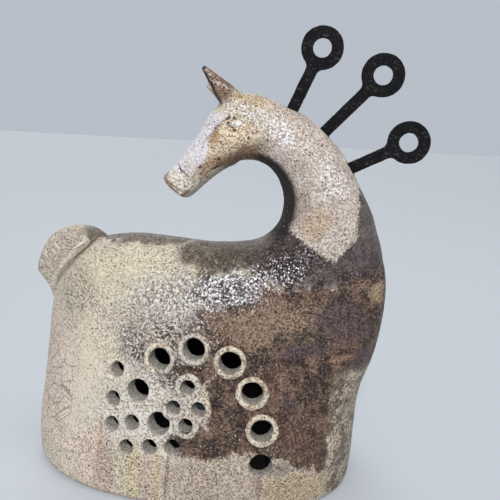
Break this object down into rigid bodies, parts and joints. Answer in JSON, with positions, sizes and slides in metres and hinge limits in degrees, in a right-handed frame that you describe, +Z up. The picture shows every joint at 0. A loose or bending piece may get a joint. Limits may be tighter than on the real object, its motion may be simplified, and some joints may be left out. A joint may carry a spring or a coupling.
{
  "type": "ceramic horse figurine",
  "caption": "Legless smoke-fired clay horse, hollow and open underneath, with a neck curled back over a pierced body and loose ring-ended iron rods as its mane.",
  "frame": {"origin": "on the ground, under the middle of the whole figure", "axes": "+X towards the chest, +Y towards the plain back of the figure, so the pierced side faces -Y, +Z up"},
  "size_m": [0.316, 0.172, 0.3564],
  "materials": {
    "body_clay": "smoke-fired grogged clay, half matte, speckled",
    "neck_clay": "smoke-fired grogged clay, burnished",
    "head_clay": "smoke-fired grogged clay, burnished",
    "ear_clay": "smoke-fired grogged clay, dark at the tips",
    "tail_clay": "smoke-fired grogged clay, half matte, speckled",
    "trim_clay": "pale bare clay, rough",
    "rod_iron": "blackened, pitted"
  },
  "bodies": {
    "figure": {"body_shell": "body_clay", "neck": "neck_clay", "head": "head_clay", "near_ear": "ear_clay", "far_ear": "ear_clay", "tail": "tail_clay", "hole_collar_1": "trim_clay", "hole_collar_2": "trim_clay", "hole_collar_3": "trim_clay", "hole_collar_4": "trim_clay", "hole_collar_5": "trim_clay", "small_hole_pads": "trim_clay"},
    "upper_rod": {"mane_rod_1": "rod_iron"},
    "middle_rod": {"mane_rod_2": "rod_iron"},
    "lower_rod": {"mane_rod_3": "rod_iron"}
  },
  "joints": [
    {"name": "upper_rod_lift", "type": "slide", "parent": "figure", "child": "upper_rod", "axis": [0.3987, 0, 0.9171], "range_m": [0, 0.018]},
    {"name": "middle_rod_lift", "type": "slide", "parent": "figure", "child": "middle_rod", "axis": [0.682, 0, 0.7314], "range_m": [0, 0.018]},
    {"name": "lower_rod_lift", "type": "slide", "parent": "figure", "child": "lower_rod", "axis": [0.887, 0, 0.4617], "range_m": [0, 0.018]}
  ]
}
